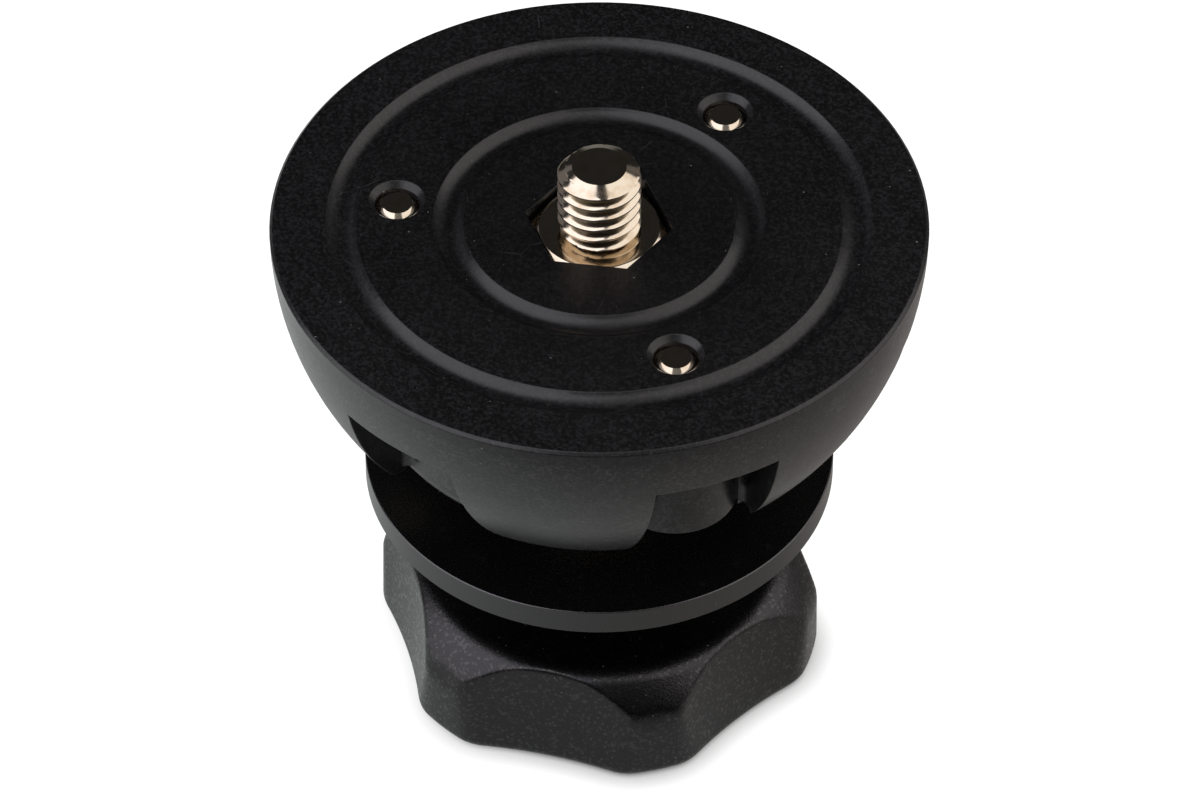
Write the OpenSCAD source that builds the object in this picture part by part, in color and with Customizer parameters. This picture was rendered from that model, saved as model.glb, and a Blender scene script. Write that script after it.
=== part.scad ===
// Half ball leveling adapter: a half ball with a head stud on top, clamped into
// a tripod bowl from below by a disc and a six-lobed knob on the stud's shank.
// Origin: centre of the knob's flat underside, +Z up along the stud.

/* [Half ball] */
// Radius of the half ball, which is also the radius of its top face
ball_r = 37.5; // [36:0.5:45]
// Height from the flat underside to the top face
ball_h = 25.5; // [24:0.25:27]
// Chamfer round the rim of the top face
rim_chamfer = 0.35; // [0.1:0.05:0.8]
// Thickness of the top plate above the side slots
plate_t = 7.7; // [7:0.1:9]
// Width of each side slot
slot_w = 14.8; // [12:0.2:16]
// Radius of the drum that the side slots are cut back to
drum_r = 26.8; // [25.5:0.1:27.5]
// Fillet in the upright corners of each slot
slot_corner_r = 1.2; // [0.6:0.1:2]
// Rounding along the lower edges of each slot
slot_edge_r = 2.4; // [1:0.1:3]

/* [Top face] */
// Mean radius of the inner groove
inner_groove_r = 17.2; // [14:0.1:17.5]
// Mean radius of the outer groove
outer_groove_r = 29.4; // [28.5:0.1:31]
// Width of each groove at the top face
groove_w = 3.4; // [2:0.1:4]
// Depth of each groove
groove_depth = 0.8; // [0.2:0.05:1.2]

/* [Set screws] */
// Distance of the set screws from the stud's axis
screw_pitch_r = 23.3; // [22.5:0.1:24]
// Outer diameter of the set screws
screw_d = 5; // [4:0.5:6]
// Length of the set screws
screw_len = 20; // [16:1:20]
// Diameter of the flat point of a set screw
screw_point_d = 3.5; // [2.5:0.1:3.8]
// Across flats of the key socket in a set screw
screw_key_af = 2.5; // [2:0.5:3]
// Depth of the key socket in a set screw
screw_key_depth = 4; // [2:0.5:6]
// How far the points lie below the top face
screw_sink = 0.5; // [0.2:0.1:1]
// Width of the countersink round each set screw
countersink_d = 6.4; // [6.1:0.1:7.2]
// Radius of the boss round each set screw
boss_r = 7.2; // [6:0.1:7.3]
// Distance of the boss's lower face above the underside
boss_lift = 4.2; // [3.5:0.1:5]

/* [Head stud] */
// Outer diameter of the head thread, a 3/8 inch camera thread
head_thread_d = 9.525; // [6.35:0.005:9.525]
// Height of the head thread above the top face
head_thread_h = 8.4; // [6:0.1:12]
// Diameter of the undercut below the head thread
undercut_d = 7.9; // [5:0.1:8.5]
// Height of the undercut
undercut_h = 0.8; // [0.4:0.1:2]
// Across flats of the hexagon collar
collar_af = 14; // [12:0.1:15]
// Thickness of the hexagon collar
collar_t = 4.2; // [3:0.1:6]
// How far the collar lies below the top face
collar_sink = 0.9; // [0.5:0.1:2.5]
// Diameter of the lower shank, an M10 thread
shank_d = 10; // [8:0.5:10]
// Diameter of the flat on top of the head thread
tip_flat_d = 6.2; // [4:0.1:6.3]
// Height of the cone round that flat
tip_cone_h = 0.8; // [0.4:0.1:2]
// Chamfer at the lower end of the shank
shank_chamfer = 1; // [0.5:0.1:1.5]

/* [Stud nut] */
// Across flats of the nut
nut_af = 16; // [15:0.5:17]
// Thickness of the nut
nut_t = 5; // [4:0.1:5.5]
// Outer diameter of the washer under the nut
nut_washer_d = 20; // [18:0.5:20.5]
// Thickness of the washer under the nut
nut_washer_t = 2; // [1:0.1:2.2]
// Diameter of the recess for the nut
nut_recess_d = 22.4; // [21:0.1:25]
// How far the nut lies inside the underside
nut_sink = 0.8; // [0.3:0.1:1.5]

/* [Clamp disc] */
// Diameter of the clamp disc
disc_d = 54.8; // [50:0.2:60]
// Thickness of the clamp disc
disc_t = 3.3; // [2.5:0.1:5]
// Chamfer on the disc's edges
disc_chamfer = 0.1; // [0.05:0.05:0.5]
// Open height between the half ball and the disc
clamp_gap = 10.4; // [6:0.1:14]
// Diameter of the friction washer below the disc
friction_washer_d = 22; // [18:0.5:25]
// Thickness of the friction washer below the disc
friction_washer_t = 0.7; // [0.5:0.1:1.5]

/* [Knob] */
// Height of the knob
knob_h = 25.7; // [24:0.1:32]
// Radius of the knob over its lobes
knob_r = 26.2; // [25.5:0.1:28]
// Height at which the straight side meets the dome
knob_side_h = 9.4; // [5:0.1:10]
// Radius of the dome on top of the knob
knob_dome_r = 32; // [31:0.5:40]
// Height of the flat top round the neck
knob_top_h = 14.1; // [13:0.1:17]
// Rounding of the knob's lower edge
knob_foot_r = 1.4; // [0.5:0.1:2]
// Radius of the neck that carries the clamp disc
knob_neck_r = 13; // [12.6:0.1:15]
// Number of lobes
lobe_count = 6; // [5:1:8]
// Distance from the axis to the hollows between the lobes, at the underside
hollow_r = 23.8; // [23:0.1:24.5]
// Lean of the hollows towards the axis
hollow_lean = 5.5; // [0:0.5:7]
// Radius of the round cut that makes each hollow
hollow_cut_r = 55; // [20:1:90]
// Turn of the knob at rest
knob_rest_turn = -6.5; // [-30:0.5:30]

/* [Knob insides] */
// Outer diameter of the threaded insert
insert_d = 16; // [14:0.2:18]
// Length of the threaded insert
insert_len = 18.6; // [14:0.2:20]
// Distance from the end of the shank to the knob's underside
shank_clear = 13; // [12.5:0.1:16]
// Inner diameter of the moulding's hollow ring
core_inner_d = 22; // [21:0.2:23]
// Outer diameter of the moulding's hollow ring
core_outer_d = 34; // [30:0.5:35]
// Height of the roof of the hollow ring
core_h = 10.5; // [7:0.5:11.5]
// Diameter of the cap that closes the knob's underside
cap_d = 38; // [36:0.5:40]
// Thickness of the cap
cap_t = 1.6; // [1:0.1:2]
// How far the cap lies inside the underside
cap_sink = 0.4; // [0.2:0.1:0.6]

/* [Hidden] */
$fn = 96;

// Running gap between a thread and its nut, on the radius
thread_gap = 0.05;
// Free gap round the shank where it passes through a plain hole
hole_gap = 0.3;
// Gap on each flat between the collar and its hexagon recess
collar_gap = 0.35;
// Gap round the cap, the insert and other pressed pieces
seat_gap = 0.02;
// Overlap of cutting tools past the faces they cut
cut = 1;
slot_count = 6;
screw_angles = [180, 60, -60];

// Levels from the underside of the knob up to the tip of the stud
washer_z = knob_h;
disc_z = washer_z + friction_washer_t;
ball_z = disc_z + disc_t + clamp_gap;
top_z = ball_z + ball_h;
slot_roof_z = top_z - plate_t;
boss_z = ball_z + boss_lift;
collar_top_z = top_z - collar_sink;
collar_z = collar_top_z - collar_t;
stud_top_z = top_z + head_thread_h;
nut_seat_z = ball_z + nut_t + nut_washer_t + nut_sink;

function across_corners_r(af) = af / 2 / cos(30);

// Ring-shaped groove with a round bottom, cut into the top face
module groove(mean_r) {
    groove_r = (pow(groove_w / 2, 2) + pow(groove_depth, 2)) / (2 * groove_depth);
    rotate_extrude()
        translate([mean_r, top_z - groove_depth + groove_r])
            circle(groove_r);
}

// Ball shape between the underside and the top face, with its rim chamfer
module truncated_ball() {
    chamfer_cone_r = ball_r - rim_chamfer + ball_h;
    intersection() {
        translate([0, 0, top_z])
            sphere(ball_r, $fn = 128);
        translate([0, 0, ball_z])
            cylinder(h = ball_h, r1 = chamfer_cone_r, r2 = ball_r - rim_chamfer);
    }
}

// Plan of one side slot, along +X, from the drum outwards
module slot_plan() {
    half_w = slot_w / 2;
    corner = sqrt(pow(drum_r, 2) - pow(half_w, 2));
    centre_y = half_w - slot_corner_r;
    centre_x = sqrt(pow(drum_r + slot_corner_r, 2) - pow(centre_y, 2));
    touch = drum_r / (drum_r + slot_corner_r);
    difference() {
        translate([0, -half_w])
            square([ball_r + cut, slot_w]);
        circle(drum_r);
        for (side = [-1, 1])
            difference() {
                polygon([
                    [corner - slot_corner_r, side * half_w],
                    [centre_x, side * half_w],
                    [centre_x, side * centre_y],
                    [centre_x * touch, side * centre_y * touch],
                    [corner - slot_corner_r, side * centre_y]
                ]);
                translate([centre_x, side * centre_y])
                    circle(slot_corner_r);
            }
    }
}

// Flare that rounds the lower edges of one side slot
module slot_flare() {
    flare_w = slot_w + 2 * slot_edge_r;
    difference() {
        translate([0, -flare_w / 2, ball_z - cut])
            cube([ball_r + cut, flare_w, slot_edge_r + cut]);
        for (side = [-1, 1])
            translate([-cut, side * flare_w / 2, ball_z + slot_edge_r])
                rotate([0, 90, 0])
                    cylinder(h = ball_r + 3 * cut, r = slot_edge_r);
        translate([0, 0, ball_z - 2 * cut])
            cylinder(h = slot_edge_r + 4 * cut, r = drum_r - slot_edge_r);
        translate([0, 0, ball_z + slot_edge_r])
            rotate_extrude()
                translate([drum_r - slot_edge_r, 0])
                    circle(slot_edge_r);
    }
}

// Everything that is cut away for one side slot
module side_slot() {
    translate([0, 0, ball_z - cut])
        linear_extrude(slot_roof_z - ball_z + cut)
            slot_plan();
    slot_flare();
}

// Tapped hole of one set screw, with its countersink and the spot face below
module screw_hole() {
    countersink_h = (countersink_d - screw_d) / 2;
    hole_r = screw_d / 2 + thread_gap;
    translate([0, 0, ball_z - cut])
        cylinder(h = ball_h + 2 * cut, r = hole_r);
    translate([0, 0, top_z - countersink_h])
        cylinder(h = countersink_h + cut, r1 = hole_r, r2 = countersink_d / 2 + cut);
    translate([0, 0, ball_z - cut])
        cylinder(h = boss_lift + cut, r = boss_r);
}

// Upright boss of one set screw, kept inside the ball's outline
module screw_boss() {
    translate([0, 0, boss_z])
        cylinder(h = slot_roof_z - boss_z + cut, r = boss_r);
}

// Places what follows at each set screw
module at_screws() {
    for (angle = screw_angles)
        rotate(angle)
            translate([screw_pitch_r, 0, 0])
                children();
}

// Hexagon recess, stud hole and nut recess on the axis
module stud_cuts() {
    recess_r = across_corners_r(collar_af + 2 * collar_gap);
    translate([0, 0, collar_z])
        cylinder(h = top_z - collar_z + cut, r = recess_r, $fn = 6);
    translate([0, 0, ball_z - cut])
        cylinder(h = ball_h, r = shank_d / 2 + hole_gap);
    translate([0, 0, ball_z - cut])
        cylinder(h = nut_seat_z - ball_z + cut, r = nut_recess_d / 2);
}

module half_ball() {
    color([0.09, 0.09, 0.1])
        difference() {
            union() {
                difference() {
                    truncated_ball();
                    for (i = [0 : slot_count - 1])
                        rotate(i * 360 / slot_count)
                            side_slot();
                }
                intersection() {
                    truncated_ball();
                    at_screws()
                        screw_boss();
                }
            }
            at_screws()
                screw_hole();
            stud_cuts();
            groove(inner_groove_r);
            groove(outer_groove_r);
        }
}

// Round bar that ends in a cone at its upper end
module coned_bar(d, len, end_d, cone_h) {
    cylinder(h = len - cone_h, d = d);
    translate([0, 0, len - cone_h])
        cylinder(h = cone_h, d1 = d, d2 = end_d);
}

// Hexagon collar whose upper corners are turned off to a cone
module stud_collar() {
    cone_r = collar_af / 2;
    cone_slope = tan(60);
    intersection() {
        cylinder(h = collar_t, r = across_corners_r(collar_af), $fn = 6);
        cylinder(h = collar_t, r1 = cone_r + collar_t * cone_slope, r2 = cone_r);
    }
}

module head_stud() {
    undercut_top_z = collar_top_z + undercut_h;
    color([0.82, 0.78, 0.72]) {
        translate([0, 0, undercut_top_z])
            coned_bar(head_thread_d, stud_top_z - undercut_top_z, tip_flat_d, tip_cone_h);
        translate([0, 0, collar_top_z - cut])
            cylinder(h = undercut_h + cut, d = undercut_d);
        translate([0, 0, collar_z])
            stud_collar();
        translate([0, 0, collar_z])
            mirror([0, 0, 1])
                coned_bar(shank_d, collar_z - shank_clear, shank_d - 2 * shank_chamfer, shank_chamfer);
    }
}

// Flat ring that goes round the shank with a plain hole
module flat_ring(d, t, bore_d) {
    difference() {
        cylinder(h = t, d = d);
        translate([0, 0, -cut])
            cylinder(h = t + 2 * cut, d = bore_d);
    }
}

module stud_washer() {
    color([0.7, 0.7, 0.7])
        translate([0, 0, nut_seat_z - nut_washer_t])
            flat_ring(nut_washer_d, nut_washer_t, shank_d + 2 * hole_gap);
}

module stud_nut() {
    color([0.6, 0.6, 0.62])
        translate([0, 0, nut_seat_z - nut_washer_t - nut_t])
            difference() {
                cylinder(h = nut_t, r = across_corners_r(nut_af), $fn = 6);
                translate([0, 0, -cut])
                    cylinder(h = nut_t + 2 * cut, d = shank_d + 2 * thread_gap);
            }
}

// Set screw with a flat point on top and a key socket below
module set_screw(angle) {
    point_chamfer = (screw_d - screw_point_d) / 2;
    color([0.75, 0.72, 0.68])
        rotate(angle)
            translate([screw_pitch_r, 0, top_z - screw_sink - screw_len])
                difference() {
                    coned_bar(screw_d, screw_len, screw_point_d, point_chamfer);
                    translate([0, 0, -cut])
                        cylinder(h = screw_key_depth + cut, r = across_corners_r(screw_key_af), $fn = 6);
                }
}

module clamp_disc() {
    bore_d = shank_d + 2 * hole_gap;
    rim_d = disc_d - 2 * disc_chamfer;
    color([0.12, 0.12, 0.13])
        translate([0, 0, disc_z])
            difference() {
                union() {
                    translate([0, 0, disc_chamfer])
                        coned_bar(disc_d, disc_t - disc_chamfer, rim_d, disc_chamfer);
                    cylinder(h = disc_chamfer, d1 = rim_d, d2 = disc_d);
                }
                translate([0, 0, -cut])
                    cylinder(h = disc_t + 2 * cut, d = bore_d);
            }
}

module friction_washer() {
    color([0.9, 0.9, 0.86])
        translate([0, 0, washer_z])
            flat_ring(friction_washer_d, friction_washer_t, shank_d + 2 * hole_gap);
}

// Half section of the knob: straight side, dome and neck
module knob_section() {
    dome_z = knob_side_h - sqrt(pow(knob_dome_r, 2) - pow(knob_r, 2));
    difference() {
        union() {
            intersection() {
                translate([0, dome_z])
                    circle(knob_dome_r, $fn = 180);
                square([knob_r, knob_top_h]);
            }
            square([knob_neck_r, knob_h]);
        }
        difference() {
            translate([knob_r - knob_foot_r, 0])
                square(knob_foot_r);
            translate([knob_r - knob_foot_r, knob_foot_r])
                circle(knob_foot_r);
        }
    }
}

// Plan of one round cut between two lobes, along +X
module hollow_plan() {
    span = 2 * knob_r * sin(180 / lobe_count);
    intersection() {
        translate([hollow_r + hollow_cut_r, 0])
            circle(hollow_cut_r, $fn = 180);
        translate([0, -span / 2])
            square([knob_r + 2 * cut, span]);
    }
}

// Round cuts that leave the lobes standing
module knob_hollows() {
    for (i = [0 : lobe_count - 1])
        rotate((i + 0.5) * 360 / lobe_count)
            translate([hollow_r, 0, 0])
                rotate([0, -hollow_lean, 0])
                    translate([-hollow_r, 0, -2 * cut])
                        linear_extrude(knob_h + 2 * cut)
                            hollow_plan();
}

// Seats for the insert, the end of the shank, the hollow ring and the cap
module knob_seats() {
    cap_top_z = cap_sink + cap_t;
    well_d = shank_d + 2 * hole_gap;
    translate([0, 0, knob_h - insert_len])
        cylinder(h = insert_len + cut, d = insert_d + 2 * seat_gap);
    translate([0, 0, cap_top_z])
        cylinder(h = knob_h, d = well_d);
    translate([0, 0, cap_top_z])
        flat_ring(core_outer_d, core_h - cap_top_z, core_inner_d);
    translate([0, 0, -cut])
        cylinder(h = cap_top_z + cut, d = cap_d + 2 * seat_gap);
}

module knob_grip() {
    color([0.14, 0.14, 0.15])
        rotate(knob_rest_turn)
            difference() {
                rotate_extrude()
                    knob_section();
                knob_hollows();
                knob_seats();
            }
}

module knob_insert() {
    color([0.72, 0.57, 0.3])
        translate([0, 0, knob_h - insert_len])
            flat_ring(insert_d, insert_len, shank_d + 2 * thread_gap);
}

module knob_cap() {
    color([0.1, 0.1, 0.11])
        translate([0, 0, cap_sink])
            cylinder(h = cap_t, d = cap_d);
}

half_ball();
head_stud();
stud_washer();
stud_nut();
set_screw(screw_angles[0]);  // set_screw_1
set_screw(screw_angles[1]);  // set_screw_2
set_screw(screw_angles[2]);  // set_screw_3
clamp_disc();
friction_washer();
knob_grip();
knob_insert();
knob_cap();
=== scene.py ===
"""Dress of the half ball leveling adapter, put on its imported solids.

The pieces' classes hold sizes in millimetres, and meshes go to Blender in metres. The
studio's classes name their own units.
"""

import logging
import math
from dataclasses import dataclass, field
from enum import Enum
from typing import Any, Dict, List, Mapping, Optional, Sequence, Tuple, Union

import bmesh
import bpy
import numpy as np
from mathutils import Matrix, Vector


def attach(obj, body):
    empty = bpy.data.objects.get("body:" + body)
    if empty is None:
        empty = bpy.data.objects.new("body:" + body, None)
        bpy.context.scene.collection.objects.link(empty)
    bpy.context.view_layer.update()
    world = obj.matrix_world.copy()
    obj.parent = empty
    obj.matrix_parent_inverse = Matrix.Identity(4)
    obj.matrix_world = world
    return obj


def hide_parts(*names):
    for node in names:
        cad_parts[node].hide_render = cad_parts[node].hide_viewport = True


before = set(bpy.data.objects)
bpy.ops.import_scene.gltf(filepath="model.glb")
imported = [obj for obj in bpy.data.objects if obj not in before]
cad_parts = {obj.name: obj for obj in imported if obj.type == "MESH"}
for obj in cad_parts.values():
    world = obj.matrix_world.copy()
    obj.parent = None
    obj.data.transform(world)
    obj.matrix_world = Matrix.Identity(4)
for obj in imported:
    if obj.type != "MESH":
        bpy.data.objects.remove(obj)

LOG = logging.getLogger("leveling_adapter")
MM = 0.001
WELD = 1e-7

Colour = Tuple[float, float, float, float]
Triple = Tuple[float, float, float]
Span = Tuple[float, float]
Outline = Sequence[Tuple[float, float]]


class Body(Enum):
    """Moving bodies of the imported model."""

    BASE = "base"
    CLAMP = "clamp"
    KNOB = "knob"
    SCREW_1 = "set_screw_1"
    SCREW_2 = "set_screw_2"
    SCREW_3 = "set_screw_3"


class Slot(Enum):
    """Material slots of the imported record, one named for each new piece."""

    NICKEL = "nickel_steel"
    SCREW = "screw_steel"
    KNOB = "knob_plastic"
    CAP = "cap_plastic"


# Shader sheets


class Wire:
    """One output of a node, with arithmetic that adds Math nodes."""

    def __init__(self, sheet: "Sheet", socket: Optional[bpy.types.NodeSocket]) -> None:
        """Keeps the sheet and the socket.

        Args:
            sheet: Node tree that the socket belongs to.
            socket: Output socket, or None for a node that ends a tree.
        """
        self.sheet = sheet
        self.socket = socket

    def other(self, name: str) -> "Wire":
        """Another output of the same node, by its name."""
        return Wire(self.sheet, self.socket.node.outputs[name])

    def math(self, operation: str, *terms: "Value") -> "Wire":
        """A Math node on the given terms."""
        return self.sheet.node("ShaderNodeMath", {"operation": operation}, dict(enumerate(terms)))

    def __add__(self, term: "Value") -> "Wire":
        """Sum."""
        return self.math("ADD", self, term)

    def __radd__(self, term: "Value") -> "Wire":
        """Sum with the number first."""
        return self.math("ADD", term, self)

    def __sub__(self, term: "Value") -> "Wire":
        """Difference."""
        return self.math("SUBTRACT", self, term)

    def __rsub__(self, term: "Value") -> "Wire":
        """Difference with the number first."""
        return self.math("SUBTRACT", term, self)

    def __mul__(self, term: "Value") -> "Wire":
        """Product."""
        return self.math("MULTIPLY", self, term)

    def __rmul__(self, term: "Value") -> "Wire":
        """Product with the number first."""
        return self.math("MULTIPLY", term, self)

    def __gt__(self, term: "Value") -> "Wire":
        """One where this is greater than the term, and zero elsewhere."""
        return self.math("GREATER_THAN", self, term)

    def __lt__(self, term: "Value") -> "Wire":
        """One where this is less than the term, and zero elsewhere."""
        return self.math("LESS_THAN", self, term)

    def __neg__(self) -> "Wire":
        """The value with its sign turned."""
        return self.math("MULTIPLY", -1.0, self)

    def __abs__(self) -> "Wire":
        """Size without its sign."""
        return self.math("ABSOLUTE", self)

    def larger(self, term: "Value") -> "Wire":
        """The larger of this and the term."""
        return self.math("MAXIMUM", self, term)

    def sine(self) -> "Wire":
        """Sine of an angle in radians."""
        return self.math("SINE", self)


Value = Union[Wire, float, Colour, Triple]


@dataclass(frozen=True)
class Specks:
    """How small specks are scattered.

    Attributes:
        gap: Mean distance between possible specks, in millimetres.
        share: Part of the possible places that hold a speck.
        spread: Radius of a speck, as a part of that distance.
    """

    gap: float
    share: float
    spread: float


class Sheet:
    """Node tree of a material or of the world, filled by expressions."""

    # Sockets of a Mix node on colours
    MIX_FACTOR, MIX_A, MIX_B, MIX_RESULT = 0, 6, 7, 2
    # Raggedness of a speck and breaks of a scratch, as parts of the gaps between them
    SPECK_RAGGED, HAIR_BREAKS = 0.12, 0.35
    HAIR_BAND: Span = (0.58, 0.68)
    EDGE_SAMPLES = 6

    def __init__(self, tree: bpy.types.NodeTree) -> None:
        """Takes over a tree and empties it.

        Args:
            tree: Node tree to fill.
        """
        self.tree = tree
        tree.nodes.clear()

    def node(
        self,
        kind: str,
        settings: Optional[Mapping[str, Any]] = None,
        inputs: Optional[Mapping[Union[int, str], Value]] = None,
        output: Union[int, str] = 0,
    ) -> Wire:
        """Adds a node of any kind.

        Args:
            kind: Blender's name of the node type.
            settings: Attributes of the node, set before its sockets.
            inputs: Values or wires of its input sockets, by index or name.
            output: Output socket that is handed back.

        Returns:
            The wire of that output.
        """
        made = self.tree.nodes.new(kind)
        for name, setting in (settings or {}).items():
            setattr(made, name, setting)
        for key, value in (inputs or {}).items():
            if isinstance(value, Wire):
                self.tree.links.new(value.socket, made.inputs[key])
            else:
                made.inputs[key].default_value = value
        return Wire(self, made.outputs[output] if len(made.outputs) else None)

    def spot(self) -> Wire:
        """Place on the piece, in metres of the shared frame."""
        return self.node("ShaderNodeTexCoord", output="Object")

    def facing(self) -> Wire:
        """How far the surface faces upwards, from -1 to 1."""
        normal = self.node("ShaderNodeNewGeometry", output="Normal")
        return self.node("ShaderNodeSeparateXYZ", inputs={0: normal}, output="Z")

    def split(self, vector: Wire) -> Tuple[Wire, Wire, Wire]:
        """The three parts of a vector."""
        first = self.node("ShaderNodeSeparateXYZ", inputs={0: vector}, output="X")
        return first, first.other("Y"), first.other("Z")

    def stretched(self, vector: Wire, factors: Triple) -> Wire:
        """A vector with its parts multiplied."""
        return self.node(
            "ShaderNodeVectorMath", {"operation": "MULTIPLY"}, {0: vector, 1: factors}
        )

    def scaled(self, vector: Value, factor: Wire) -> Wire:
        """A vector or colour times a number."""
        return self.node(
            "ShaderNodeVectorMath", {"operation": "SCALE"}, {0: vector, "Scale": factor}
        )

    def radius(self, vector: Wire) -> Wire:
        """Distance from the stud's axis, in metres."""
        flat = self.stretched(vector, (1.0, 1.0, 0.0))
        return self.node("ShaderNodeVectorMath", {"operation": "LENGTH"}, {0: flat}, "Value")

    def rings(self, vector: Wire, pitch: float) -> Wire:
        """Turning rings round the axis from -1 to 1, with a pitch in millimetres."""
        return (self.radius(vector) * (2.0 * math.pi / (pitch * MM))).sine()

    def noise(self, vector: Wire, size: float, detail: float = 2.0) -> Wire:
        """Cloudy noise.

        Args:
            vector: Place on the piece.
            size: Size of its largest blots, in millimetres.
            detail: Number of finer layers.

        Returns:
            Noise around 0.5.
        """
        return self.node(
            "ShaderNodeTexNoise",
            inputs={"Vector": vector, "Scale": 1 / (size * MM), "Detail": detail},
        )

    def cells(self, vector: Wire, size: float) -> Wire:
        """Distance to the nearest of scattered points, in cells of a size in millimetres."""
        return self.node("ShaderNodeTexVoronoi", inputs={"Vector": vector, "Scale": 1 / (size * MM)})

    def lots(self, cells: Wire) -> Wire:
        """A chance number from 0 to 1 for each cell."""
        return self.split(cells.other("Color"))[0]

    def step(self, value: Wire, low: float, high: float) -> Wire:
        """Smooth step.

        Args:
            value: Value that is stepped.
            low: Where the step starts at 0.
            high: Where it ends at 1.

        Returns:
            The step.
        """
        return self.node(
            "ShaderNodeMapRange",
            {"interpolation_type": "SMOOTHSTEP"},
            {"Value": value, "From Min": low, "From Max": high},
        )

    def blend(self, factor: Value, first: Value, second: Value) -> Wire:
        """Mix of two colours.

        Args:
            factor: Share of the second colour.
            first: Colour at 0.
            second: Colour at 1.

        Returns:
            The mixed colour.
        """
        return self.node(
            "ShaderNodeMix",
            {"data_type": "RGBA"},
            {self.MIX_FACTOR: factor, self.MIX_A: first, self.MIX_B: second},
            self.MIX_RESULT,
        )

    def specks(self, vector: Wire, scatter: Specks) -> Wire:
        """Mask of small scattered specks.

        Args:
            vector: Place on the piece.
            scatter: How they are scattered.

        Returns:
            One inside a speck, and zero elsewhere.
        """
        near = self.cells(vector, scatter.gap)
        chosen = self.lots(near) > 1.0 - scatter.share
        blots = self.noise(vector, scatter.gap * self.SPECK_RAGGED, detail=1.0)
        return chosen * (near < blots * scatter.spread * 2.0)

    def hairlines(self, vector: Wire, gap: float, width: float) -> Wire:
        """Mask of thin broken scratches.

        Args:
            vector: Place on the piece.
            gap: Mean distance between scratches, in millimetres.
            width: Width of a scratch, in millimetres.

        Returns:
            One on a scratch, and zero elsewhere.
        """
        wander = self.node(
            "ShaderNodeTexVoronoi",
            {"feature": "DISTANCE_TO_EDGE"},
            {"Vector": vector, "Scale": 1 / (gap * MM)},
        )
        breaks = self.noise(vector, gap * self.HAIR_BREAKS, detail=1.0)
        return (wander < 0.5 * width / gap) * self.step(breaks, *self.HAIR_BAND)

    def rounded(self, radius: float) -> Wire:
        """Normal with edges rounded by a radius in millimetres."""
        return self.node("ShaderNodeBevel", {"samples": self.EDGE_SAMPLES}, {"Radius": radius * MM})

    def bump(self, height: Wire, depth: float, normal: Optional[Wire] = None) -> Wire:
        """Normal of a rough surface.

        Args:
            height: Height from 0 to 1.
            depth: Depth of the roughness, in millimetres.
            normal: Normal to start from, if it isn't the mesh's own.

        Returns:
            The bumped normal.
        """
        inputs: Dict[Union[int, str], Value] = {"Height": height, "Distance": depth * MM}
        if normal is not None:
            inputs["Normal"] = normal
        return self.node("ShaderNodeBump", inputs=inputs)


# Finishes


@dataclass(frozen=True)
class Finish:
    """A finish that dresses one or more pieces.

    In every finish a size is in millimetres, a band is where a noise steps from 0 to 1, and a
    gloss is how far a noise moves the roughness.
    """

    label: str

    def inputs(self, sheet: Sheet) -> Dict[str, Value]:
        """Values and wires of the shader's sockets, given by each finish.

        Args:
            sheet: Node tree of the material.

        Returns:
            Socket names and what goes into them.
        """
        raise NotImplementedError(self.label)

    def material(self) -> bpy.types.Material:
        """The finish as a material, made once.

        Returns:
            The material.
        """
        found = bpy.data.materials.get(self.label)
        if found is not None:
            return found
        made = bpy.data.materials.new(self.label)
        made.use_nodes = True
        sheet = Sheet(made.node_tree)
        shader = sheet.node("ShaderNodeBsdfPrincipled", inputs=self.inputs(sheet))
        sheet.node("ShaderNodeOutputMaterial", inputs={"Surface": shader})
        return made


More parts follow.
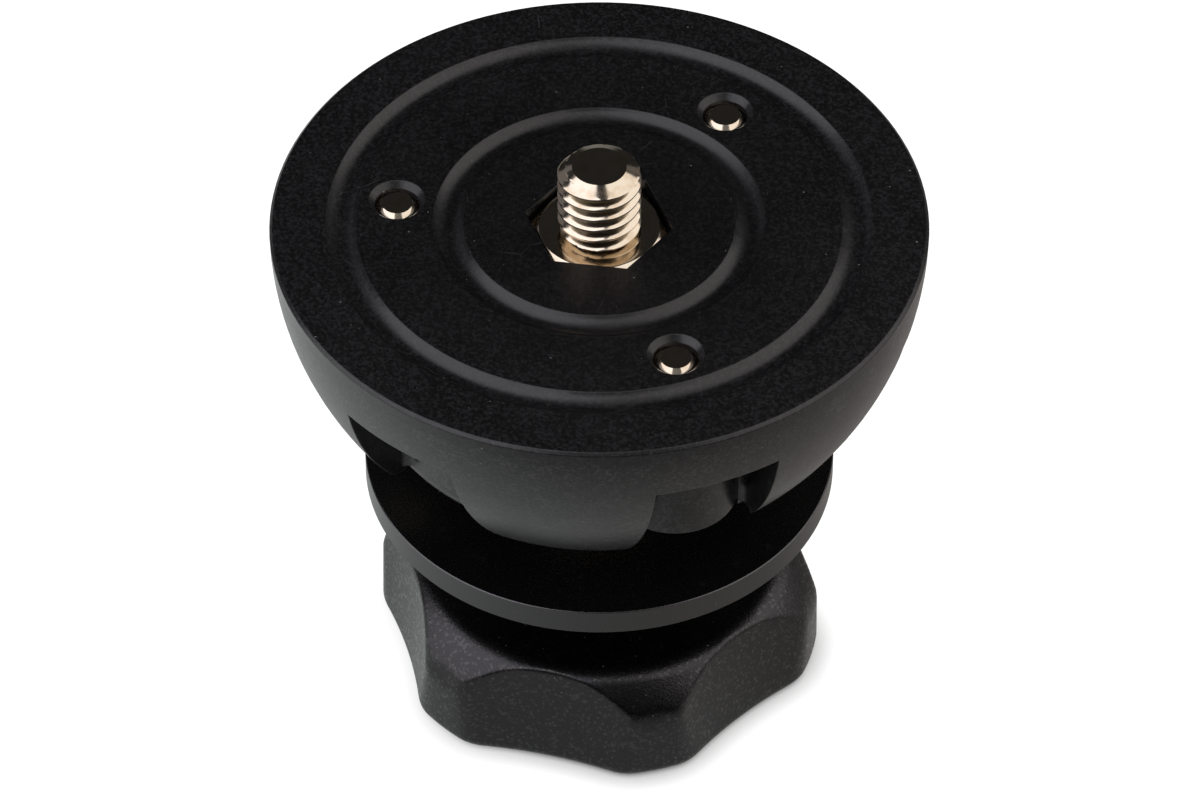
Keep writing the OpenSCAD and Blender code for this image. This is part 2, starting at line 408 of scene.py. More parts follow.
@dataclass(frozen=True)
class CastCoat(Finish):
    """Matte black coat on the cast and turned half ball, with a little dust."""

    dark: Colour = (0.0008, 0.0009, 0.0010, 1.0)
    light: Colour = (0.0210, 0.0218, 0.0220, 1.0)
    film: Colour = (0.0330, 0.0346, 0.0338, 1.0)
    turned_dark: Colour = (0.0008, 0.0008, 0.0011, 1.0)
    turned_light: Colour = (0.0125, 0.0125, 0.0138, 1.0)
    scratched: Colour = (0.030, 0.030, 0.031, 1.0)
    dust: Colour = (0.14, 0.14, 0.14, 1.0)
    turned_from: Span = (63.4, 64.4)
    cloud: float = 9.0
    mottle: float = 0.5
    patch_cloud: float = 0.3
    patch_band: Span = (0.35, 1.0)
    fleck: float = 0.2805
    fleck_band: Span = (0.35, 1.0)
    cast_fleck: float = 0.5
    turned_fleck: float = 0.75
    smear: float = 2.6
    smear_fleck: float = 0.3
    smear_band: Span = (0.58, 1.05)
    rimward_lightening: Span = (12.0, 36.0)
    rimward_lightening_tone: Span = (0.6, 1.15)
    hair_gap: float = 11.0
    hair_width: float = 0.05
    fine_dust: Specks = Specks(0.8, 0.16, 0.07)
    fine_strength: float = 0.5
    coarse_dust: Specks = Specks(1.9, 0.26, 0.05)
    roughness: float = 0.34
    cloud_gloss: float = 0.08
    cast_gloss: float = 0.16
    turned_gloss: float = 0.06
    turned_polish: float = 0.02
    grain: float = 0.33
    grain_depth: float = 0.018
    turned_smooth: float = 0.75
    ring_pitch: float = 0.22
    ring_height: float = 0.02
    edge: float = 0.22

    def cast_tone(self, sheet: Sheet, spot: Wire, patch: Wire, fleck: Wire) -> Wire:
        """Colour of the cast sides, under a thin smeared film.

        Args:
            sheet: Node tree of the material.
            spot: Place on the piece.
            patch: Mask of lighter patches.
            fleck: Mask of lighter flecks.

        Returns:
            The colour.
        """
        grain = patch * (1.0 - self.cast_fleck) + fleck * self.cast_fleck
        smear = sheet.noise(spot, self.smear, detail=5.0) + self.smear_fleck * fleck
        tone = sheet.blend(grain, self.dark, self.light)
        return sheet.blend(sheet.step(smear, *self.smear_band), tone, self.film)

    def turned_tone(self, sheet: Sheet, spot: Wire, patch: Wire, fleck: Wire) -> Wire:
        """Colour of the turned top face, a little lighter towards its rim.

        Args:
            sheet: Node tree of the material.
            spot: Place on the piece.
            patch: Mask of lighter patches.
            fleck: Mask of lighter flecks.

        Returns:
            The colour.
        """
        grain = patch * (1.0 - self.turned_fleck) + fleck * self.turned_fleck
        # The colour grows lighter from the inner radius towards the rim.
        inner, outer = self.rimward_lightening
        weak, strong = self.rimward_lightening_tone
        outwards = sheet.step(sheet.radius(spot), inner * MM, outer * MM)
        rimward_lightening = weak + (strong - weak) * outwards
        return sheet.blend(grain * rimward_lightening, self.turned_dark, self.turned_light)

    def inputs(self, sheet: Sheet) -> Dict[str, Value]:
        """Fine cast grain on the sides, faint turning rings on top, scratches and dust.

        Args:
            sheet: Node tree of the material.

        Returns:
            Socket names and what goes into them.
        """
        spot = sheet.spot()
        low, high = self.turned_from
        turned = sheet.step(sheet.split(spot)[2], low * MM, high * MM)
        cloud = sheet.noise(spot, self.cloud, detail=3.0)
        mottle = sheet.noise(spot, self.mottle, detail=5.0)
        patch = sheet.step(self.patch_cloud * cloud + mottle, *self.patch_band)
        fleck = sheet.step(sheet.lots(sheet.cells(spot, self.fleck)), *self.fleck_band)
        cast = self.cast_tone(sheet, spot, patch, fleck)
        flat = self.turned_tone(sheet, spot, patch, fleck)
        hairs = sheet.hairlines(spot, self.hair_gap, self.hair_width) * turned
        tone = sheet.blend(hairs, sheet.blend(turned, cast, flat), self.scratched)
        fine = sheet.specks(spot, self.fine_dust) * self.fine_strength
        dust = fine.larger(sheet.specks(spot, self.coarse_dust))
        grain = sheet.noise(spot, self.grain) * (1.0 - self.turned_smooth * turned)
        rings = sheet.rings(spot, self.ring_pitch) * (self.ring_height * turned)
        spread = self.cast_gloss - (self.cast_gloss - self.turned_gloss) * turned
        gloss = self.cloud_gloss * (cloud - 0.5) + spread * (mottle - 0.5)
        return {
            "Base Color": sheet.blend(dust, tone, self.dust),
            "Roughness": self.roughness + gloss - self.turned_polish * turned,
            "Normal": sheet.bump(grain + rings, self.grain_depth, sheet.rounded(self.edge)),
        }


@dataclass(frozen=True)
class DiscCoat(Finish):
    """Satin black coat on the turned clamp disc, worn along its upper edge."""

    tint: Colour = (0.0025, 0.0024, 0.0024, 1.0)
    rub: Colour = (0.010, 0.010, 0.0105, 1.0)
    worn: Colour = (0.10, 0.098, 0.102, 1.0)
    dust: Colour = (0.10, 0.10, 0.10, 1.0)
    specks: Specks = Specks(1.7, 0.1, 0.05)
    brink: Span = (27.4, 29.7)
    brink_width: float = 0.16
    marks: float = 2.2
    marks_band: Span = (0.62, 0.8)
    marks_tone: float = 0.35
    marks_gloss: float = 0.12
    fine: float = 0.25
    fine_gloss: float = 0.12
    fine_height: float = 0.7
    ring_pitch: float = 0.3
    ring_height: float = 0.12
    depth: float = 0.002
    edge: float = 0.12
    roughness: float = 0.27
    specular: float = 0.75

    def inputs(self, sheet: Sheet) -> Dict[str, Value]:
        """Turning rings on the faces, light rub marks, dust and a worn upper edge.

        Args:
            sheet: Node tree of the material.

        Returns:
            Socket names and what goes into them.
        """
        spot = sheet.spot()
        fine = sheet.noise(spot, self.fine)
        marks = sheet.step(sheet.noise(spot, self.marks, detail=5.0), *self.marks_band)
        tone = sheet.blend(marks * self.marks_tone, self.tint, self.rub)
        tone = sheet.blend(sheet.specks(spot, self.specks), tone, self.dust)
        out, up = ((size - self.brink_width) * MM for size in self.brink)
        worn = (sheet.radius(spot) > out) * (sheet.split(spot)[2] > up)
        rings = sheet.rings(spot, self.ring_pitch) * (self.ring_height * abs(sheet.facing()))
        height = fine * self.fine_height + rings
        return {
            "Base Color": sheet.blend(worn, tone, self.worn),
            "Metallic": worn,
            "Roughness": self.roughness + self.fine_gloss * (fine - 0.5) + self.marks_gloss * marks,
            "Specular IOR Level": self.specular,
            "Normal": sheet.bump(height, self.depth, sheet.rounded(self.edge)),
        }


@dataclass(frozen=True)
class MouldedPlastic(Finish):
    """Black moulded plastic with a fine spark-eroded grain."""

    dark: Colour = (0.0003, 0.0003, 0.0003, 1.0)
    light: Colour = (0.0040, 0.0039, 0.0040, 1.0)
    dust: Colour = (0.14, 0.14, 0.14, 1.0)
    sheen: Colour = (0.99, 0.965, 1.0, 1.0)
    specks: Specks = Specks(0.9, 0.22, 0.08)
    fleck_band: Span = (0.7, 1.0)
    fleck_gloss: float = 0.55
    coat_roughness: float = 0.15
    cloud: float = 7.0
    cloud_gloss: float = 0.06
    roughness: float = 0.30
    grain: float = 0.22
    grain_gloss: float = 0.2
    pit_grains: float = 1.3
    pit_height: float = 0.3
    depth: float = 0.03

    def inputs(self, sheet: Sheet) -> Dict[str, Value]:
        """Grain in the height and the sheen, with faint flow clouds and dust.

        Args:
            sheet: Node tree of the material.

        Returns:
            Socket names and what goes into them.
        """
        spot = sheet.spot()
        grain = sheet.noise(spot, self.grain)
        pits = sheet.cells(spot, self.grain * self.pit_grains)
        fleck = sheet.step(sheet.lots(pits), *self.fleck_band)
        cloud = sheet.noise(spot, self.cloud, detail=3.0)
        tone = sheet.blend(fleck * (0.5 + cloud), self.dark, self.light)
        gloss = self.grain_gloss * (grain - 0.5) + self.cloud_gloss * (cloud - 0.5)
        height = grain * (1.0 - self.pit_height) + pits * self.pit_height
        return {
            "Base Color": sheet.blend(sheet.specks(spot, self.specks), tone, self.dust),
            "Roughness": self.roughness + gloss,
            "Coat Weight": fleck * self.fleck_gloss,
            "Coat Roughness": self.coat_roughness,
            "Specular Tint": self.sheen,
            "Normal": sheet.bump(height, self.depth),
        }


@dataclass(frozen=True)
class PlatedSteel(Finish):
    """Bright plated or plain turned metal with fine tool lines round the axis."""

    bright: Colour = (0.66, 0.58, 0.47, 1.0)
    stained: Colour = (0.50, 0.38, 0.25, 1.0)
    roughness: float = 0.13
    stain: float = 1.6
    stain_band: Span = (0.45, 0.75)
    stain_tone: float = 0.6
    stain_gloss: float = 0.10
    lines: float = 0.12
    lines_drawn: Triple = (0.12, 0.12, 1.0)
    lines_gloss: float = 0.10
    depth: float = 0.001

    def inputs(self, sheet: Sheet) -> Dict[str, Value]:
        """Warm stains in the plate, and tool lines drawn out round the axis.

        Args:
            sheet: Node tree of the material.

        Returns:
            Socket names and what goes into them.
        """
        spot = sheet.spot()
        cloud = sheet.noise(spot, self.stain, detail=4.0)
        lines = sheet.noise(sheet.stretched(spot, self.lines_drawn), self.lines)
        stain = sheet.step(cloud, *self.stain_band) * self.stain_tone
        gloss = self.lines_gloss * (lines - 0.5) + self.stain_gloss * (cloud - 0.5)
        return {
            "Base Color": sheet.blend(stain, self.bright, self.stained),
            "Metallic": 1.0,
            "Roughness": self.roughness + gloss,
            "Normal": sheet.bump(lines, self.depth),
        }


@dataclass(frozen=True)
class PaleNylon(Finish):
    """Pale sliding plastic of the friction washer."""

    tint: Colour = (0.72, 0.71, 0.66, 1.0)
    rubbed: Colour = (0.52, 0.51, 0.47, 1.0)
    rub: float = 3.0
    rub_band: Span = (0.4, 0.7)
    rub_gloss: float = 0.2
    roughness: float = 0.42
    grain: float = 0.3
    depth: float = 0.006

    def inputs(self, sheet: Sheet) -> Dict[str, Value]:
        """Rubbed patches on a plain tint.

        Args:
            sheet: Node tree of the material.

        Returns:
            Socket names and what goes into them.
        """
        spot = sheet.spot()
        cloud = sheet.noise(spot, self.rub, detail=4.0)
        return {
            "Base Color": sheet.blend(sheet.step(cloud, *self.rub_band), self.tint, self.rubbed),
            "Roughness": self.roughness + self.rub_gloss * (cloud - 0.5),
            "Normal": sheet.bump(sheet.noise(spot, self.grain), self.depth),
        }


CASTING = CastCoat("casting_coat")
DISC_COAT = DiscCoat("disc_coat")
GRIP_PLASTIC = MouldedPlastic("grip_plastic")
CAP_PLASTIC = MouldedPlastic("cap_plastic_plain", roughness=0.4, grain=0.18, depth=0.012)
NICKEL = PlatedSteel("nickel_plate")
SCREW_PLATE = PlatedSteel("screw_plate", roughness=0.12)
ZINC = PlatedSteel("zinc_plate", (0.62, 0.62, 0.62, 1.0), (0.44, 0.43, 0.41, 1.0), roughness=0.3)
BRASS = PlatedSteel("turned_brass", (0.75, 0.56, 0.27, 1.0), (0.5, 0.34, 0.15, 1.0), roughness=0.24)
NYLON = PaleNylon("sliding_nylon")


# Meshes


@dataclass(frozen=True)
class Thread:
    """Sizes of an outside thread.

    Attributes:
        radius: Radius over the crests.
        pitch: Height of one turn.
        depth: Depth from crest to root.
        start: Phase of the first crest, in pitches.
        crest: Flat share of the crest.
        root: Flat share of the root.
        soft: How far the flanks are rounded, from 0 to 1.
    """

    radius: float
    pitch: float
    depth: float
    start: float = 0.0
    crest: float = 0.09
    root: float = 0.13
    soft: float = 0.25

    def radius_at(self, phase: np.ndarray) -> np.ndarray:
        """Radius at a phase of the pitch, with a crest at the start and each pitch on.

        Args:
            phase: Height over the helix, in pitches.

        Returns:
            The radii.
        """
        swing = np.abs(2.0 * ((phase - self.start) % 1.0) - 1.0)
        rise = np.clip((swing - self.root) / (1.0 - self.crest - self.root), 0.0, 1.0)
        rounded = rise * rise * (3.0 - 2.0 * rise)
        rise = (1.0 - self.soft) * rise + self.soft * rounded
        return self.radius - self.depth * (1.0 - rise)


@dataclass
class Skin:
    """Points and faces of one mesh, collected ring by ring."""

    around: int
    points: List[np.ndarray] = field(default_factory=list)
    faces: List[Tuple[int, ...]] = field(default_factory=list)
    count: int = 0

    def angles(self) -> np.ndarray:
        """Angles of the columns, in radians."""
        return np.arange(self.around) * (2.0 * math.pi / self.around)

    def add(self, points: np.ndarray) -> int:
        """Adds points.

        Args:
            points: Their places, one row each.

        Returns:
            Index of the first.
        """
        first = self.count
        self.points.append(points)
        self.count += len(points)
        return first

    def ring(self, radius: Union[float, np.ndarray], height: Union[float, np.ndarray]) -> int:
        """Adds a ring round the axis.

        Args:
            radius: Radius, or one radius for each column.
            height: Height, or one height for each column.

        Returns:
            Index of its first point.
        """
        turn = self.angles()
        wide = np.broadcast_to(radius, turn.shape)
        high = np.broadcast_to(height, turn.shape)
        return self.add(np.stack([wide * np.cos(turn), wide * np.sin(turn), high], axis=1))

    def bridge(self, first: int, second: int) -> None:
        """Joins two rings by a band of quads.

        Args:
            first: Index of the first ring's first point.
            second: Index of the second ring's first point.
        """
        for i in range(self.around):
            k = (i + 1) % self.around
            self.faces.append((first + i, first + k, second + k, second + i))

    def tube(self, rings: Sequence[int], closed: bool = False) -> None:
        """Joins rings in order.

        Args:
            rings: Indices of their first points.
            closed: Whether the last is joined to the first.
        """
        for first, second in zip(rings, rings[1:]):
            self.bridge(first, second)
        if closed:
            self.bridge(rings[-1], rings[0])

    def turned(self, outline: Outline) -> List[int]:
        """Rings of a turned outline of (radius, height) points."""
        return [self.ring(radius, height) for radius, height in outline]

    def threaded(self, thread: Thread, outline: Outline, rows: int = 14) -> None:
        """Adds a right-hand threaded bar whose rows follow the helix.

        Args:
            thread: Sizes of the thread.
            outline: Points of (height, radius) that hold the thread in, from the bottom up.
            rows: Rows in one pitch.
        """
        heights, limits = np.array(outline, float).T
        low, high = heights[0], heights[-1]
        lift = (thread.pitch * np.arange(self.around) / self.around)[:, None]
        total = int(math.ceil((high - low) / thread.pitch + 2.0)) * rows + 1
        base = low - thread.pitch + np.arange(total) * (thread.pitch / rows)
        z = np.clip(base[None, :] + lift, low, high)
        for corner in heights[1:-1]:
            z[np.arange(self.around), np.abs(z - corner).argmin(axis=1)] = corner
        r = np.minimum(thread.radius_at((z - lift) / thread.pitch), np.interp(z, heights, limits))
        turn = self.angles()[:, None]
        first = self.add(
            np.stack([r * np.cos(turn), r * np.sin(turn), z], axis=2).reshape(-1, 3)
        )
        for i in range(self.around):
            k = (i + 1) % self.around
            skip = 0 if k else rows
            for j in range(total - 1 - skip):
                a, b = first + i * total + j, first + k * total + j + skip
                self.faces.append((a, b, b + 1, a + 1))

    def piece(
        self, name: str, place: Triple = (0.0, 0.0, 0.0), sharp: float = 35.0, closed: bool = True
    ) -> bpy.types.Object:
        """Makes the mesh, merges what coincides and closes its open ends.

        Args:
            name: Name of the piece.
            place: Shift of the mesh, in millimetres.
            sharp: Angle over which an edge shows sharp, in degrees.
            closed: Whether open ends are closed.

        Returns:
            The new object, linked to the scene.
        """
        mesh = bpy.data.meshes.new(name)
        points = (np.concatenate(self.points) + np.array(place)) * MM
        mesh.from_pydata(points.tolist(), [], self.faces)
        shape = bmesh.new()
        shape.from_mesh(mesh)
        bmesh.ops.remove_doubles(shape, verts=shape.verts, dist=WELD)
        bmesh.ops.dissolve_degenerate(shape, edges=shape.edges, dist=WELD)
        rims = [edge for edge in shape.edges if edge.is_boundary and closed]
        bmesh.ops.holes_fill(shape, edges=rims, sides=0)
        bmesh.ops.recalc_face_normals(shape, faces=shape.faces)
        shape.to_mesh(mesh)
        shape.free()
        mesh.shade_smooth()
        mesh.set_sharp_from_angle(angle=math.radians(sharp))
        made = bpy.data.objects.new(name, mesh)
        bpy.context.scene.collection.objects.link(made)
        return made


def hexagon(across: float, angles: np.ndarray, turn: float = 30.0) -> np.ndarray:
    """Radius of a hexagon at the given angles.

    Args:
        across: Width across flats.
        angles: Angles in radians.
        turn: Angle of the middle of a flat, in degrees.

    Returns:
        The radii.
    """
    sixth = math.pi / 3
    off = (angles - math.radians(turn) + sixth / 2) % sixth - sixth / 2
    return across / 2 / np.cos(off)


def round_max(
    first: np.ndarray, second: np.ndarray, radius: Union[float, np.ndarray], bend: float = 90.0
) -> np.ndarray:
    """Distance to what lies inside two shapes, with their common edge rounded.

    Args:
        first: Distance to the first shape, negative inside.
        second: Distance to the second shape.
        radius: Radius of the rounding.
        bend: Angle between the two surfaces' normals at the edge, in degrees.

    Returns:
        Distance to the rounded common part.
    """
    turn, square = math.cos(math.radians(bend)), math.sin(math.radians(bend)) ** 2
    a, b = first + radius, second + radius
    arc = np.sqrt(np.maximum(a * a + b * b - 2.0 * turn * a * b, 0.0) / square) - radius
    on_arc = (a > turn * b) & (b > turn * a)
    return np.where(on_arc, arc, np.maximum(first, second))


def paired(first: Union[float, np.ndarray], second: Union[float, np.ndarray]) -> np.ndarray:
    """Rows of (first, second), where either may be one number for all rows."""
    return np.stack(np.broadcast_arrays(first, second), axis=1)


def settle(piece: bpy.types.Object, body: Body, slot: Slot, finish: Finish, *nodes: str) -> None:
    """Dresses a new piece, puts it on its body and hides the solids that it stands for.

    Args:
        piece: New mesh object.
        body: Body that it rides on.
        slot: Slot of the record; not used.
        finish: Finish of the piece.
        nodes: Names of the solids that it replaces.
    """
    piece.data.materials.clear()
    piece.data.materials.append(finish.material())
    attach(piece, body.value)
    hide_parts(*nodes)
    LOG.info("%s: %d faces, rides on %s", piece.name, len(piece.data.polygons), body.value)


def dress(node: str, finish: Finish) -> None:
    """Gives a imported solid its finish.

    Args:
        node: Name of the solid.
        finish: Finish that it gets.
    """
    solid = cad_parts[node]
    solid.data.materials.clear()
    solid.data.materials.append(finish.material())
    LOG.info("%s: solid dressed in %s", node, finish.label)


# Sub-assemblies


@dataclass
class HalfBall:
    """The cast half ball and the hardware inside it, shown by their solids."""

    hardware: Tuple[str, ...] = ("stud_washer", "stud_nut")

    def build(self) -> None:
        """Dresses the casting, the washer and the nut."""
        dress("half_ball", CASTING)
        for node in self.hardware:
            dress(node, ZINC)


@dataclass
class HeadStud:
    """Bright stud with a head thread, a hexagon collar and a threaded shank."""

    tip: float = 74.0
    tip_flat: float = 3.1
    tip_cone: float = 0.74
    collar_top: float = 64.7
    collar_foot: float = 60.5
    collar_across: float = 14.0
    collar_ease: float = 0.12
    collar_cone: float = 60.0
    undercut: float = 3.9
    undercut_height: float = 0.1
    undercut_taper: float = 0.15
    head_runout: float = 0.5
    shank_foot: float = 13.0
    shank_chamfer: float = 1.0
    shank_plain: float = 52.0
    shank_runout: float = 0.8
    overlap: float = 0.3
    head: Thread = Thread(4.7625, 1.5875, 0.93, start=0.3, crest=0.13, root=0.12, soft=0.35)
    head_rows: int = 24
    shank: Thread = Thread(5.0, 1.5, 0.9)
    around: int = 120
    sharp: float = 22.0

    def head_thread(self, skin: Skin) -> None:
        """Adds the short thread above the collar.

        Args:
            skin: Mesh that takes it.
        """
        start = self.collar_top + self.undercut_height
        radius = self.head.radius
        skin.threaded(
            self.head,
            [
                (self.collar_top - self.overlap, self.undercut - self.undercut_taper),
                (self.collar_top, self.undercut),
                (start, self.undercut),
                (start + self.head_runout, radius),
                (self.tip - self.tip_cone, radius),
                (self.tip, self.tip_flat),
            ],
            self.head_rows,
        )

    def collar(self, skin: Skin) -> None:
        """Adds the hexagon collar with its turned-off corners.

        Args:
            skin: Mesh that takes it.
        """
        edge = hexagon(self.collar_across, skin.angles())
        ease = self.collar_ease
        inner = self.collar_across / 2 - ease
        drop = (edge - inner) / math.tan(math.radians(self.collar_cone))
        skin.tube(
            [
                skin.ring(edge - ease, self.collar_foot),
                skin.ring(edge, self.collar_foot + ease),
                skin.ring(edge, self.collar_top - drop - ease / 2),
                skin.ring(edge - ease / 3, self.collar_top - drop),
                skin.ring(inner + ease / 2, self.collar_top - ease / 3),
                skin.ring(inner - ease / 2, self.collar_top),
                skin.ring(inner - ease * 2, self.collar_top),
            ]
        )

    def lower_shank(self, skin: Skin) -> None:
        """Adds the long shank that the knob climbs.

        Args:
            skin: Mesh that takes it.
        """
        radius = self.shank.radius
        root = radius - self.shank.depth
        skin.threaded(
            self.shank,
            [
                (self.shank_foot, radius - self.shank_chamfer),
                (self.shank_foot + self.shank_chamfer, radius),
                (self.shank_plain, radius),
                (self.shank_plain + self.shank_runout, root),
                (self.collar_foot + self.overlap, root),
            ],
        )

    def build(self) -> None:
        """Builds the stud in place of its solid."""
        skin = Skin(self.around)
        self.head_thread(skin)
        self.collar(skin)
        self.lower_shank(skin)
        made = skin.piece("threaded_stud", sharp=self.sharp)
        settle(made, Body.BASE, Slot.NICKEL, NICKEL, "head_stud")


@dataclass
class SetScrew:
    """One set screw with a flat point on top and a key socket below."""

    body: Body
    angle: float
    pitch_radius: float = 23.3
    tip: float = 65.1
    length: float = 20.0
    point: float = 1.75
    point_cone: float = 0.75
    foot_chamfer: float = 0.45
    foot_inset: float = 0.02
    key_across: float = 2.5
    key_depth: float = 4.0
    key_ease: float = 0.1
    key_cone: float = 0.6
    key_end: float = 0.15
    thread: Thread = Thread(2.5, 0.8, 0.46)
    rows: int = 10
    around: int = 72

    def build(self) -> None:
        """Builds the screw in place of its solid."""
        skin = Skin(self.around)
        foot = self.tip - self.length
        radius = self.thread.radius
        rim = radius - self.thread.depth - self.foot_inset
        skin.threaded(
            self.thread,
            [
                (foot, rim),
                (foot + self.foot_chamfer, radius),
                (self.tip - self.point_cone, radius),
                (self.tip, self.point),
            ],
            self.rows,
        )
        key = hexagon(self.key_across, skin.angles())
        skin.tube(
            [
                skin.ring(rim, foot),
                skin.ring(key + self.key_ease, foot),
                skin.ring(key, foot + self.key_ease),
                skin.ring(key, foot + self.key_depth),
                skin.ring(self.key_end, foot + self.key_depth + self.key_cone),
            ]
        )
        turn = math.radians(self.angle)
        place = (self.pitch_radius * math.cos(turn), self.pitch_radius * math.sin(turn), 0.0)
        made = skin.piece("threaded_" + self.body.value, place)
        settle(made, self.body, Slot.SCREW, SCREW_PLATE, self.body.value)


@dataclass
class Clamp:
    """The clamp disc and its friction washer, shown by their solids."""

    def build(self) -> None:
        """Dresses both solids."""
        dress("clamp_disc", DISC_COAT)
        dress("friction_washer", NYLON)


@dataclass
class Knob:
    """Six-lobed moulded knob with soft edges, its insert and its cap.

    Its outer form is a round bar under a dome, cut by leaning hollows and by a flat top, with
    every edge rounded. A bend is the angle between two surfaces at their edge, in degrees. The
    rows count the rings of each stretch of the outer skin.
    """

    height: float = 25.7
    radius: float = 26.2
    side: float = 9.4
    dome: float = 32.0
    top: float = 14.1
    neck: float = 13.0
    neck_chamfer: float = 0.3
    neck_fillet: float = 1.0
    neck_steps: int = 4
    neck_digits: int = 2
    lobes: int = 6
    hollow: float = 23.8
    hollow_lean: float = 5.5
    hollow_cut: float = 55.0
    rest_turn: float = -6.5
    shoulder: float = 6.0
    lip: float = 3.6
    rim: float = 0.8
    edge: float = 3.0
    fade: float = 2.6
    foot: float = 1.3
    edge_bend: float = 31.0
    shoulder_bend: float = 37.0
    lip_bend: float = 46.0
    eye: float = 9.0
    sight: float = 40.0
    halvings: int = 36
    flat_from: float = 14.4
    flat_dense: float = 20.5
    flat_rows: Tuple[int, int] = (6, 14)
    dome_rows: int = 40
    side_rows: int = 26
    foot_rows: int = 9
    under_rows: int = 6
    under_inset: float = 0.6
    insert_seat: Span = (8.02, 7.1)
    well: Span = (5.3, 2.0)
    core: Triple = (11.0, 17.0, 10.5)
    around: int = 360
    sharp: float = 40.0
    cap_seat: float = 19.02
    cap_radius: float = 19.0
    cap_span: Span = (0.4, 2.0)
    cap_chamfer: float = 0.3
    cap_around: int = 120
    gate: Triple = (1.0, 3.4, 3.9)
    gate_depth: float = 0.45
    groove: Tuple[float, float, float, float] = (14.6, 15.0, 16.4, 16.8)
    groove_depth: float = 0.35

    @property
    def dome_z(self) -> float:
        """Height of the dome's centre."""
        return self.side - math.sqrt(self.dome**2 - self.radius**2)

    def distance(self, x: np.ndarray, y: np.ndarray, z: np.ndarray) -> np.ndarray:
        """Distance to the knob's soft outer form, negative inside.

        Args:
            x: First parts of the places.
            y: Second parts.
            z: Heights.

        Returns:
            The distances.
        """
        away = np.hypot(x, y)
        lobe = away - self.radius
        hollow = np.full_like(away, -self.radius)
        lean = math.radians(self.hollow_lean)
        reach = self.hollow + self.hollow_cut / math.cos(lean)
        for k in range(self.lobes):
            turn = math.radians(self.rest_turn + (k + 0.5) * 360.0 / self.lobes)
            out = x * math.cos(turn) + y * math.sin(turn)
            aside = y * math.cos(turn) - x * math.sin(turn)
            off = np.hypot((out - reach) * math.cos(lean) + z * math.sin(lean), aside)
            hollow = np.maximum(hollow, self.hollow_cut - off)
        on_lobe = np.clip(0.5 + (lobe - hollow) / self.fade, 0.0, 1.0)
        soft = self.rim + (self.shoulder - self.rim) * on_lobe
        dome = np.hypot(away, z - self.dome_z) - self.dome
        edge = self.edge * (2.0 - np.clip(z / self.side, 0.0, 1.0))
        side = round_max(lobe, hollow, edge, self.edge_bend)
        form = round_max(side, dome, soft, self.shoulder_bend)
        form = round_max(form, z - self.top, self.lip, self.lip_bend)
        return round_max(form, -z, self.foot)

    def aims(self) -> np.ndarray:
        """Points that the rows of the outer skin aim at.

        Returns:
            Rows of (radius, height), from the neck down to the cap's seat.
        """
        crest = math.sqrt(self.dome**2 - (self.top - self.dome_z) ** 2)
        sparse, dense = self.flat_rows
        flat = np.linspace(self.flat_from, self.flat_dense, sparse, endpoint=False)
        brow = np.linspace(self.flat_dense, crest, dense, endpoint=False)
        wide = np.linspace(crest, self.radius, self.dome_rows, endpoint=False)
        low = np.linspace(self.side, self.foot, self.side_rows, endpoint=False)
        bend = np.linspace(0.0, math.pi / 2, self.foot_rows)
        base = self.radius - self.foot
        under = np.linspace(base - self.under_inset, self.cap_seat, self.under_rows)
        return np.concatenate(
            [
                paired(flat, self.top),
                paired(brow, self.top),
                paired(wide, np.sqrt(self.dome**2 - wide**2) + self.dome_z),
                paired(self.radius, low),
                paired(base + self.foot * np.cos(bend), self.foot * (1.0 - np.sin(bend))),
                paired(under, 0.0),
            ]
        )

    def outer_rings(self, skin: Skin) -> List[int]:
        """Rings of the soft outer form, found by looking out from a point on the axis.

        Args:
            skin: Mesh that takes the rings.

        Returns:
            Their first indices, from the neck down to the cap's seat.
        """
        turn = skin.angles()
        rings: List[int] = []
        for wide, high in self.aims():
            length = math.hypot(wide, high - self.eye)
            out, rise = wide / length, (high - self.eye) / length
            near, far = np.zeros_like(turn), np.full_like(turn, self.sight)
            for _ in range(self.halvings):
                half = (near + far) / 2
                inside = self.distance(
                    half * out * np.cos(turn), half * out * np.sin(turn), self.eye + half * rise
                ) < 0.0
                near, far = np.where(inside, half, near), np.where(inside, far, half)
            rings.append(skin.ring(near * out, self.eye + near * rise))
        return rings

    def neck_outline(self) -> Outline:
        """Outline of the neck, from the insert's seat down to the flat top.

        Returns:
            Points of (radius, height).
        """
        ease = self.neck_chamfer
        bends = np.linspace(0.0, math.pi / 2, self.neck_steps + 1)
        out = np.round(self.neck_fillet * (1.0 - np.cos(bends)), self.neck_digits)
        up = np.round(self.neck_fillet * (1.0 - np.sin(bends)), self.neck_digits)
        return [
            (self.insert_seat[0], self.height),
            (self.neck - ease, self.height),
            (self.neck, self.height - ease),
            *zip(self.neck + out, self.top + up),
        ]

    def grip(self) -> None:
        """Builds the grip in place of its solid, with its seats and hollow ring."""
        skin = Skin(self.around)
        seat_r, seat_z = self.insert_seat
        well_r, cap_z = self.well
        core_in, core_out, core_z = self.core
        upper = skin.turned(self.neck_outline())
        outer = self.outer_rings(skin)
        lower = skin.turned(
            [
                (self.cap_seat, cap_z),
                (core_out, cap_z),
                (core_out, core_z),
                (core_in, core_z),
                (core_in, cap_z),
                (well_r, cap_z),
                (well_r, seat_z),
                (seat_r, seat_z),
            ]
        )
        skin.tube(upper + outer + lower, closed=True)
        made = skin.piece("lobed_grip", sharp=self.sharp)
        settle(made, Body.KNOB, Slot.KNOB, GRIP_PLASTIC, "knob_grip")

